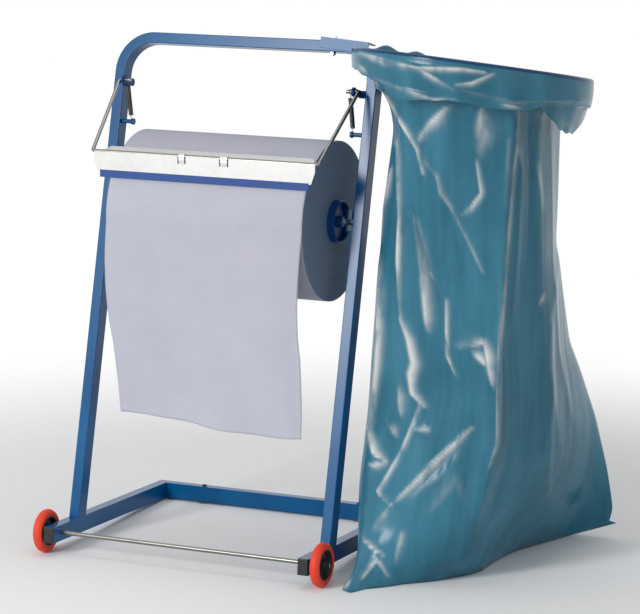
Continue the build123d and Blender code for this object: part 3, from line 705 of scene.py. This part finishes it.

# %% [markdown]
# A crease fades out at both ends, and its painted highlight is crisp on one side and soft on the
# other, as a highlight on a bent film is. Soft pleats are a few waves round the bag, drawn by a seeded
# generator, so that each run gives the same bag.

# %% How creases and pleats are computed
def crease_marks(place, height, creases):
    """How far each point stands proud for a set of crease lines, and how strong its painted highlight
    is.
    """
    relief = np.zeros_like(place)
    painted_highlight = np.zeros_like(place)
    for rise, width, highlight_strength, line in creases:
        line = np.array(line, float)
        best = np.full(place.shape, 1e9)
        along = np.zeros_like(place)
        soft = np.zeros(place.shape, bool)
        total = len(line) - 1
        for i in range(total):
            start, step = line[i], line[i + 1] - line[i]
            share = ((height - start[0]) * step[0] + (place - start[1]) * step[1]) / (step @ step)
            share = np.clip(share, 0.0, 1.0)
            away = np.hypot(height - start[0] - share * step[0], place - start[1] - share * step[1])
            closer = away < best
            best = np.where(closer, away, best)
            turned = (height - start[0]) * step[1] - (place - start[1]) * step[0]
            soft = np.where(closer, turned > 0, soft)
            along = np.where(closer, (i + share) / total, along)
        taper = np.sin(np.pi * (0.06 + 0.88 * along)) ** 0.6
        relief += rise * taper * np.exp(-(best / max(width, 4.0)) ** 1.25)
        reach = np.maximum(width * (0.35 + 0.65 * taper), 2.6)
        reach = np.where(soft, 1.9 * reach, 0.75 * reach)
        # Painted highlight along the crease's crest: crisp on one side, soft on the other.
        painted_highlight = np.maximum(painted_highlight, highlight_strength * (0.3 + 0.7 * taper) * np.exp(-(best / reach) ** 1.6))
    return relief, painted_highlight


def mixed(near, far, share):
    """The near values where share is 1, the far ones where it is 0."""
    return near * share + far * (1 - share)


def ripples(angle, height, seed, count, low, high):
    """A sum of seeded waves round the bag that drift as they run down."""
    draw = np.random.default_rng(seed)
    total = np.zeros_like(angle)
    for _ in range(count):
        waves = draw.integers(low, high)
        drift = draw.uniform(-2.5, 2.5)
        start = draw.uniform(0, 2 * math.pi)
        swell = 0.6 + 0.4 * np.sin(height / draw.uniform(60, 160) + draw.uniform(0, 6.3))
        wave = np.sin(waves * angle + drift * height / 250 + start)
        total += swell * wave / math.sqrt(waves / low)
    return total / count


print("crease and pleat helpers ready")

# %% [markdown]
# Both are measured as a relief in millimetres, and every point of the wall moves
# outwards by it. The pleats are deepest below the collar.

# %% Relief of the wall
PLEAT_DEPTH = 1.5
WRINKLE_DEPTH = 0.6

across_mm, nearer_mm = loops[..., 0], loops[..., 1]
row_height = heights[:, None] + np.zeros_like(across_mm)
middle_across = across_mm.mean(1, keepdims=True)
middle_near = nearer_mm.mean(1, keepdims=True)
angle = np.arctan2(nearer_mm - middle_near, across_mm - middle_across)
tangent = np.roll(loops, -1, 1) - np.roll(loops, 1, 1)
outward = np.stack([-tangent[..., 1], tangent[..., 0]], 2)
outward /= np.maximum(np.linalg.norm(outward, axis=2, keepdims=True), 1e-6)
flip = np.sign((outward * (loops - loops.mean(1, keepdims=True))).sum(2).mean())
outward *= flip
facing = smooth_step(outward[..., 1], -0.25, 0.25)
# Each crease gives its relief and its painted highlight on the wall.
near_relief, near_highlight = crease_marks(across_mm, row_height, SIDE_CREASES)
far_relief, far_highlight = crease_marks(across_mm, row_height, FAR_CREASES)
relief = mixed(near_relief, far_relief, facing)
wall_highlight = mixed(near_highlight, far_highlight, facing)
pleats = ripples(angle, row_height, 4, 5, 14, 34)
relief += PLEAT_DEPTH * pleats * smooth_step(row_height, 250, 800)
relief += WRINKLE_DEPTH * ripples(angle, row_height, 9, 5, 24, 60)
relief *= smooth_step(row_height, 0, 60) * 0.75 + 0.25
wall = loops + outward * relief[..., None]
print("relief from", round(float(relief.min()), 1), "to", round(float(relief.max()), 1), "mm")

# %% [markdown]
# At the top the film runs up to the ring, over it, and hangs down outside as a collar.
# The ring is tilted, so its height differs all round. The collar's edge hangs lower on
# the right than by the arm, and the dark rod shows through the single film over it.

# %% Ring and depth of the collar
RIM_ROWS = 12
COLLAR_ROWS = 40
ROD = 3.3
JOIN_DROP = 14.0
# (place across, depth of the collar there) on the side that faces the viewer
COLLAR_EDGE = np.array([(-213, 33), (-190, 47), (-170, 54), (-152, 64), (-146, 82), (-90, 76),
                        (-37, 70), (18, 75), (50, 73), (89, 69), (107, 62), (123, 74), (155, 95),
                        (173, 100), (195, 99), (213, 70)], float)
# (place across, half width, height) where the film bunches up on the far side
HUMPS = ((-148, 20, 13), (-92, 19, 10))


def ring_point(turn, away=0.0):
    """A point of the tilted ring, away from its rod's middle outwards."""
    x = (RING_RADIUS + away) * np.cos(turn)
    y = (RING_RADIUS + away) * np.sin(turn)
    z = -x * RING_FALL - y * RING_BACK
    return RING_CENTRE[0] + x, RING_CENTRE[1] + y, RING_CENTRE[2] + z


in_plan = BAG_AXIS + wall[..., :1] * ACROSS + wall[..., 1:] * NEARER
wall_x, wall_y = in_plan[..., 0], in_plan[..., 1]
top_x, top_y = wall_x[0], wall_y[0]
turn = np.unwrap(np.arctan2(top_y - RING_CENTRE[1], top_x - RING_CENTRE[0]))
even = np.linspace(0, turn[-1] - turn[0] + (turn[1] - turn[0]), columns, endpoint=False)
turn = eased(turn - even, 60, 0.5) + even
ring_across = RING_RADIUS * np.cos(turn - VIEW_TURN)
ring_near = RING_RADIUS * np.cos(turn - VIEW_TURN + math.pi / 2)
ring_front = smooth_step(ring_near, -40, 20)

level = np.zeros_like(turn)
wavy = 36 + 12 * ripples(turn, level, 21, 4, 3, 9)
depth_far = 30 + wavy * smooth_step(ring_across, -212, -140)
depth_near = np.interp(ring_across, COLLAR_EDGE[:, 0], COLLAR_EDGE[:, 1])
depth_near += 4 * ripples(turn, level, 27, 4, 14, 40)
depth = mixed(depth_near, depth_far, ring_front)
hump = sum(rise * np.exp(-((ring_across - place) / width) ** 2) for place, width, rise in HUMPS)
hump *= 1 - ring_front
drawn_in = 0.0022 * smooth_step(ring_across, 110, 190)
at_sides = 1 - 0.75 * smooth_step(np.abs(ring_across), 165, 208)

print("collar", round(float(depth.min())), "to", round(float(depth.max())), "mm deep")

# %% [markdown]
# Row after row, the collar climbs from its edge to the rod, three rows bend over the
# rod, and the rim's rows lead down inside to the top of the wall.

# %% Rows of the collar and the rim
collar_rows = []
collar_highlight = []
collar_rod = []


def collar_row(x, y, z, painted_highlight=0.0, rod=0.0):
    """One more row of points, with the strength of its painted highlight and how much rod shows
    through it.
    """
    collar_rows.append(np.stack([x, y, z], 1))
    collar_highlight.append(painted_highlight + np.zeros(columns))
    collar_rod.append(rod + np.zeros(columns))


for step in range(COLLAR_ROWS):
    share = 1 - step / COLLAR_ROWS
    drop = depth * share
    # The collar's creases give relief and painted highlights.
    near_relief, near_highlight = crease_marks(ring_across, drop, COLLAR_CREASES)
    far_relief, far_highlight = crease_marks(ring_across, drop, COLLAR_FAR_CREASES)
    marks = mixed(near_relief, far_relief, ring_front)
    waves = ripples(turn, drop * 2.0, 33, 5, 9, 26) * (0.5 + 4.5 * share)
    swell = 0.4 + 2.0 * math.sin(math.pi * min(1.0, share * 1.3))
    swell = swell + waves + marks * min(1.0, share * 5)
    away = ROD + 0.4 + np.maximum(swell, 0.0) * at_sides - drawn_in * drop ** 2
    ledge = 6.0 * smooth_step(drop, 47, 53) * smooth_step(ring_across, 40, 100) * ring_front
    x, y, z = ring_point(turn, away - ledge)
    collar_row(x, y, z - drop + 2.0 * share + hump * (1 - share) ** 4,
               mixed(near_highlight, far_highlight, ring_front), np.where(drop < 3.0, 0.85, 0.0) * (hump < 2))
for bend in (0.15, 0.5, 0.85):
    x, y, z = ring_point(turn, ROD * math.cos(math.pi * bend))
    collar_row(x, y, z + ROD * math.sin(math.pi * bend) + hump, rod=np.where(hump < 2, 0.95, 0.0))
inner_x, inner_y, inner_z = ring_point(turn, -ROD)
for step in range(RIM_ROWS):
    share = (step + 0.5) / RIM_ROWS
    ease = share * share * (3 - 2 * share)
    z = inner_z + (heights[0] - JOIN_DROP - inner_z) * share
    collar_row(inner_x + (top_x - inner_x) * ease, inner_y + (top_y - inner_y) * ease, z)
print(len(collar_rows), "rows of", columns, "points")

# %% [markdown]
# Low down, the bag spreads back and its far corner is lifted off the floor. Points far
# back are drawn in along the line of sight, so the outline in the picture stays.

# %% Wall rows and bottom
BACK_START, BACK_SPAN = 420.0, 105.0
SEAL_DROP = 1.2
OFF_FLOOR = 0.0008
FILM_THICKNESS = 0.0005

wall_rows = [collar_rows[-1]]
# Painted highlight strength, one row for each row of the wall.
wall_highlight_rows = [collar_highlight[-1]]
for row, height in enumerate(heights):
    if height <= heights[0] - JOIN_DROP - 2:
        wall_rows.append(np.stack([wall_x[row], wall_y[row], np.full(columns, height)], 1))
        wall_highlight_rows.append(wall_highlight[row])
edge = wall_rows[-1]
middle = edge.mean(0)
seal = edge[np.argmax(edge[:, 0] + edge[:, 1])] - edge[np.argmin(edge[:, 0] + edge[:, 1])]
seal = seal / np.linalg.norm(seal)
to_seal = middle + ((edge - middle) @ seal)[:, None] * seal - edge
for share in (0.35, 0.7, 0.96):
    lowered = np.array([0, 0, -SEAL_DROP * share])
    wall_rows.append(edge + to_seal * share * np.array([1, 1, 0]) + lowered)
    wall_highlight_rows.append(np.zeros(columns))
wall_points = np.concatenate(wall_rows)
past = np.maximum(wall_points[:, 1] - BACK_START, 0.0)
drawn = past - BACK_SPAN * (1 - np.exp(-past / BACK_SPAN))
drawn *= smooth_step(wall_points[:, 2], 640, 400)
to_camera = np.array(CAMERA_PLACE) / MM - wall_points
wall_points = wall_points + to_camera * (drawn / -to_camera[:, 1])[:, None]
print("farthest back", round(float(wall_points[:, 1].max())), "mm")


def film_piece(name, points, marks, rod, replaced=()):
    """One piece of film: its mesh, the painted highlights and rod marks that its finish reads, and its
    thickness.
    """
    points = points * MM
    points[:, 2] = np.maximum(points[:, 2], OFF_FLOOR)
    faces = grid_faces(len(marks), columns, closed=True)
    piece = new_piece(name, points, faces, film, replaced)
    form = bmesh.new()
    form.from_mesh(piece.data)
    bmesh.ops.recalc_face_normals(form, faces=form.faces)
    form.to_mesh(piece.data)
    form.free()
    # The painted highlights and the rod's darkness go to the finish as point attributes.
    for label, values in (("painted_highlight", marks), ("over_rod", rod)):
        layer = piece.data.attributes.new(label, "FLOAT", "POINT")
        layer.data.foreach_set("value", np.concatenate(values).astype(np.float32))
    thicken(piece, FILM_THICKNESS)
    print(name, len(piece.data.polygons), "faces")


no_rod = [np.zeros(columns)] * len(wall_rows)
film_piece("waste_bag_film", wall_points, wall_highlight_rows, no_rod, ["waste_bag"])
film_piece("waste_bag_collar", np.concatenate(collar_rows), collar_highlight, collar_rod)

# %% [markdown]
# The paper's free end hangs straight down from the front of the roll, behind the
# tear bar. It is limp, so its edges curl a little and its lower end has shallow waves.

# %% Hanging paper
SHEET_TOP = 0.615
SHEET_BOTTOM = 0.250
SHEET_LEFT, SHEET_RIGHT = -0.188, 0.202
SHEET_TWIST = math.radians(8.0)
SHEET_FRONT = 0.0836
SHEET_THICKNESS = 0.0005
SHEET_ACROSS = 90
SHEET_DOWN = 110
ROLL_RADIUS = 0.1474
WRAP = math.radians(42.0)
WRAPPED = WRAP * ROLL_RADIUS
FREE_LENGTH = SHEET_TOP - SHEET_BOTTOM
SHEET_WIDTH = SHEET_RIGHT - SHEET_LEFT
SHEET_LENGTH = FREE_LENGTH + WRAPPED

side = np.linspace(0, 1, SHEET_ACROSS)
sheet_rows = []
for step in range(SHEET_DOWN):
    share = step / (SHEET_DOWN - 1)
    drop = share * SHEET_LENGTH
    if drop < WRAPPED:
        lift = WRAP - drop / ROLL_RADIUS
        y = np.full(SHEET_ACROSS, ROLL_CENTRE[1] - ROLL_RADIUS * math.cos(lift))
        z = np.full(SHEET_ACROSS, ROLL_CENTRE[2] + ROLL_RADIUS * math.sin(lift))
        free = 0.0
    else:
        free = (drop - WRAPPED) / FREE_LENGTH
        z = np.full(SHEET_ACROSS, SHEET_TOP - free * FREE_LENGTH)
        wave = 0.006 * np.sin(side * 9.0 + 2.0 * free + 0.6)
        wave += 0.004 * np.sin(side * 19.0 - 3.0 * free)
        y = SHEET_FRONT - free ** 1.5 * (0.010 + wave)
        curl = np.exp(-((1 - side) / 0.05) ** 2) + np.exp(-(side / 0.05) ** 2)
        y = y + 0.006 * curl * free
        z = z + 0.004 * free * np.sin(side * 5.0 + 0.8)
    narrow = 1 - 0.012 * free * math.sin(math.pi * min(1.0, free))
    twist = SHEET_TWIST * free ** 1.6
    from_centre = (side - 0.5) * SHEET_WIDTH * narrow
    sway = -0.007 * math.sin(math.pi * min(1.0, 1.6 * free))
    sway += 0.011 * smooth_step(free, 0.45, 1.0)
    x = (SHEET_LEFT + SHEET_RIGHT) / 2 + sway + from_centre * math.cos(twist)
    y = y - from_centre * math.sin(twist)
    sheet_rows.append(np.stack([x, y, z], 1))
hanging = new_piece("hanging_paper", np.concatenate(sheet_rows),
                    grid_faces(SHEET_DOWN, SHEET_ACROSS), paper, ["paper_sheet"])
thicken(hanging, SHEET_THICKNESS)
print("paper", round(SHEET_LENGTH, 3), "m long")

# %% [markdown]
# The tear plate is a zinc-plated angle. Its skirt hides the lower half of the bar, its
# flange rises a little to the back, and two tabs are cut free and bent round the bar.

# %% Tear plate
SHEET_METAL = 0.0014
BAR_Y, BAR_Z, BAR_RADIUS = 0.104, 0.736, 0.0035
SKIRT_Y = 0.0998
SKIRT_TOP, NOTCH_FOOT, SKIRT_FOOT = 0.7358, 0.7225, 0.7005
PLATE_LEFT, PLATE_RIGHT, FOOT_INSET = -0.220, 0.2205, 0.008
NOTCHES = ((-0.050, -0.034), (0.033, 0.051))
NOTCH_GAP = 0.0022
HOOK_RADIUS = BAR_RADIUS + 0.0012
FLANGE_INSET, CORNER_INSET = 0.0145, 0.004
FLANGE_COLUMNS = 13
FLANGE = ((0.1006, 0.7312), (0.1085, 0.7316), (0.1180, 0.7352), (0.1340, 0.7415))

plate_form = bmesh.new()


def strip(lines):
    """Quads between lines of points that have the same number of points."""
    made = [[plate_form.verts.new(point) for point in line] for line in lines]
    for first, second in zip(made, made[1:]):
        for i in range(len(first) - 1):
            plate_form.faces.new((first[i], first[i + 1], second[i + 1], second[i]))


breaks = [PLATE_LEFT]
for low, high in NOTCHES:
    breaks += [low, low + NOTCH_GAP, high - NOTCH_GAP, high]
breaks.append(PLATE_RIGHT)


def foot_x(x):
    """Where a point of the skirt's top lies at its foot, which is a little narrower."""
    reach = (x - PLATE_LEFT) / (PLATE_RIGHT - PLATE_LEFT)
    return x + FOOT_INSET * (1 - 2 * reach)


strip([[(x, SKIRT_Y, NOTCH_FOOT) for x in breaks],
       [(foot_x(x), SKIRT_Y, SKIRT_FOOT) for x in breaks]])
for first in (0, 4, 8):
    pair = breaks[first:first + 2]
    strip([[(x, SKIRT_Y, SKIRT_TOP) for x in pair], [(x, SKIRT_Y, NOTCH_FOOT) for x in pair]])
for first in (2, 6):
    low, high = breaks[first:first + 2]
    profile = [(SKIRT_Y, NOTCH_FOOT), (SKIRT_Y - 0.0006, NOTCH_FOOT + 0.007)]
    for degrees in range(180, -41, -20):
        turned = math.radians(degrees)
        profile.append((BAR_Y + HOOK_RADIUS * math.cos(turned),
                        BAR_Z + HOOK_RADIUS * math.sin(turned)))
    strip([[(low, y, z), (high, y, z)] for y, z in profile])
flange_lines = []
for i, (y, z) in enumerate(FLANGE):
    inset = FLANGE_INSET * (y - FLANGE[0][0]) / (FLANGE[-1][0] - FLANGE[0][0])
    if i == len(FLANGE) - 1:
        inset += CORNER_INSET
    places = np.linspace(PLATE_LEFT + inset, PLATE_RIGHT - inset, FLANGE_COLUMNS)
    flange_lines.append([(x, y, z) for x in places])
strip(flange_lines)
bmesh.ops.remove_doubles(plate_form, verts=plate_form.verts, dist=0.00001)
bmesh.ops.recalc_face_normals(plate_form, faces=plate_form.faces)
plate_mesh = bpy.data.meshes.new("tear_plate_sheet")
plate_form.to_mesh(plate_mesh)
plate_form.free()
plate_mesh.materials.append(zinc.material)
plate = show("tear_plate_sheet", plate_mesh, "tear_bar", ["tear_plate"])
thicken(plate, SHEET_METAL)
rounded = plate.modifiers.new("edges", "BEVEL")
rounded.width = 0.0003
rounded.segments = 2
rounded.limit_method = "ANGLE"
print("tear plate", len(plate_mesh.polygons), "faces")

# %% [markdown]
# Each tension spring is a closed coil with a hook at both ends. The coil follows a rule,
# so Geometry Nodes wind it: a spiral of wire whose turns, radius and length are inputs.

# %% A coil wound by Geometry Nodes
COIL_RADIUS = 0.0045
WIRE_RADIUS = 0.00062
COIL_LENGTH = 0.056
COIL_TURNS = 42.0
TURN_STEPS = 14
WIRE_SIDES = 6


def coil_tree(finish):
    """A tree that winds one coil along Z, and the identifiers of its inputs."""
    tree = bpy.data.node_groups.new("spring_coil", "GeometryNodeTree")
    tree.interface.new_socket("Geometry", in_out="INPUT", socket_type="NodeSocketGeometry")
    inputs = {}
    for label in ("Turns", "Coil radius", "Wire radius", "Length"):
        socket = tree.interface.new_socket(label, in_out="INPUT", socket_type="NodeSocketFloat")
        inputs[label] = socket.identifier
    tree.interface.new_socket("Geometry", in_out="OUTPUT", socket_type="NodeSocketGeometry")
    given = tree.nodes.new("NodeGroupInput")
    wound = tree.nodes.new("GeometryNodeCurveSpiral")
    wound.inputs["Resolution"].default_value = TURN_STEPS
    wire = tree.nodes.new("GeometryNodeCurvePrimitiveCircle")
    wire.inputs["Resolution"].default_value = WIRE_SIDES
    swept = tree.nodes.new("GeometryNodeCurveToMesh")
    swept.inputs["Fill Caps"].default_value = True
    real = tree.nodes.new("GeometryNodeRealizeInstances")
    finished = tree.nodes.new("GeometryNodeSetMaterial")
    finished.inputs["Material"].default_value = finish.material
    sent = tree.nodes.new("NodeGroupOutput")
    for source, output, target, entry in (
            (given, "Turns", wound, "Rotations"), (given, "Length", wound, "Height"),
            (given, "Coil radius", wound, "Start Radius"), (given, "Coil radius", wound, "End Radius"),
            (given, "Wire radius", wire, "Radius"), (wound, "Curve", swept, "Curve"),
            (wire, "Curve", swept, "Profile Curve"), (swept, "Mesh", real, "Geometry"),
            (real, "Geometry", finished, "Geometry"), (finished, "Geometry", sent, "Geometry")):
        tree.links.new(source.outputs[output], target.inputs[entry])
    return tree, inputs


def wound_mesh(name, tree, settings):
    """The tree's result as a plain mesh, from a holder that is taken away again."""
    holder = placed(name + "_holder", bpy.data.meshes.new(name + "_holder"))
    winding = holder.modifiers.new("winding", "NODES")
    winding.node_group = tree
    for identifier, value in settings.items():
        winding[identifier] = value
    depsgraph = bpy.context.evaluated_depsgraph_get()
    mesh = bpy.data.meshes.new_from_object(holder.evaluated_get(depsgraph), depsgraph=depsgraph)
    holder.modifiers.remove(winding)
    bpy.data.objects.remove(holder)
    mesh.name = name
    return mesh


coil_group, coil_inputs = coil_tree(spring_wire)
coil_settings = {coil_inputs["Turns"]: COIL_TURNS, coil_inputs["Length"]: COIL_LENGTH,
                 coil_inputs["Coil radius"]: COIL_RADIUS - WIRE_RADIUS,
                 coil_inputs["Wire radius"]: WIRE_RADIUS}
print("coil tree with", len(coil_group.nodes), "nodes")

# %% [markdown]
# At its lower end a spring hooks round the pin on the leg, and at its upper end round
# the pivot. Each hook is a short bent wire that starts at the end of the coil.

# %% Springs with their hooks
PIVOT = (0.244, 0.850)
PIN_HOOK, PIVOT_HOOK = 0.004, 0.0035
HOOK_GAP = 0.0003
HOOK_START = 0.6


def bent_wire(form, points, radius, sides=8):
    """A round wire along points, added to a form."""
    points = [Vector(point) for point in points]
    rings = []
    for i, point in enumerate(points):
        along = (points[min(i + 1, len(points) - 1)] - points[max(i - 1, 0)]).normalized()
        first = first - first.dot(along) * along if rings else along.orthogonal()
        first.normalize()
        second = along.cross(first)
        ring = []
        for k in range(sides):
            turned = 2 * math.pi * k / sides
            ring.append(form.verts.new(
                point + radius * (math.cos(turned) * first + math.sin(turned) * second)))
        rings.append(ring)
    for one, two in zip(rings, rings[1:]):
        for k in range(sides):
            form.faces.new((one[k], one[(k + 1) % sides], two[(k + 1) % sides], two[k]))
    form.faces.new(rings[0][::-1])
    form.faces.new(rings[-1])


for side_name in ("left", "right"):
    pin_low, pin_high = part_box(side_name + "_spring_pin")
    spring_low, spring_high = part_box(side_name + "_spring")
    x = (spring_low[0] + spring_high[0]) / 2
    low = Vector((x, (pin_low[1] + pin_high[1]) / 2, (pin_low[2] + pin_high[2]) / 2))
    high = Vector((x, *PIVOT))
    run = (high - low).normalized()
    middle = (low + high) / 2
    start = middle - run * (COIL_LENGTH / 2)
    stop = middle + run * (COIL_LENGTH / 2)
    name = side_name + "_spring_coil"
    mesh = wound_mesh(name, coil_group, coil_settings)
    mesh.transform(Matrix.Translation(start) @ run.to_track_quat("Z", "X").to_matrix().to_4x4())
    form = bmesh.new()
    form.from_mesh(mesh)
    for centre, bar, end in ((low, PIN_HOOK, start), (high, PIVOT_HOOK, stop)):
        hook_radius = bar + HOOK_GAP + WIRE_RADIUS
        towards = (end - centre).normalized()
        sideways = Vector((1, 0, 0)).cross(towards)
        wire_points = [end + sideways * (COIL_RADIUS - WIRE_RADIUS) * HOOK_START]
        for degrees in range(0, 281, 20):
            turned = math.radians(degrees)
            wire_points.append(centre + hook_radius * (math.cos(turned) * towards
                                                       + math.sin(turned) * sideways))
        bent_wire(form, wire_points, WIRE_RADIUS)
    form.to_mesh(mesh)
    form.free()
    mesh.shade_smooth()
    show(name, mesh, "stand", [side_name + "_spring"])
    print(side_name, "spring", len(mesh.polygons), "faces")
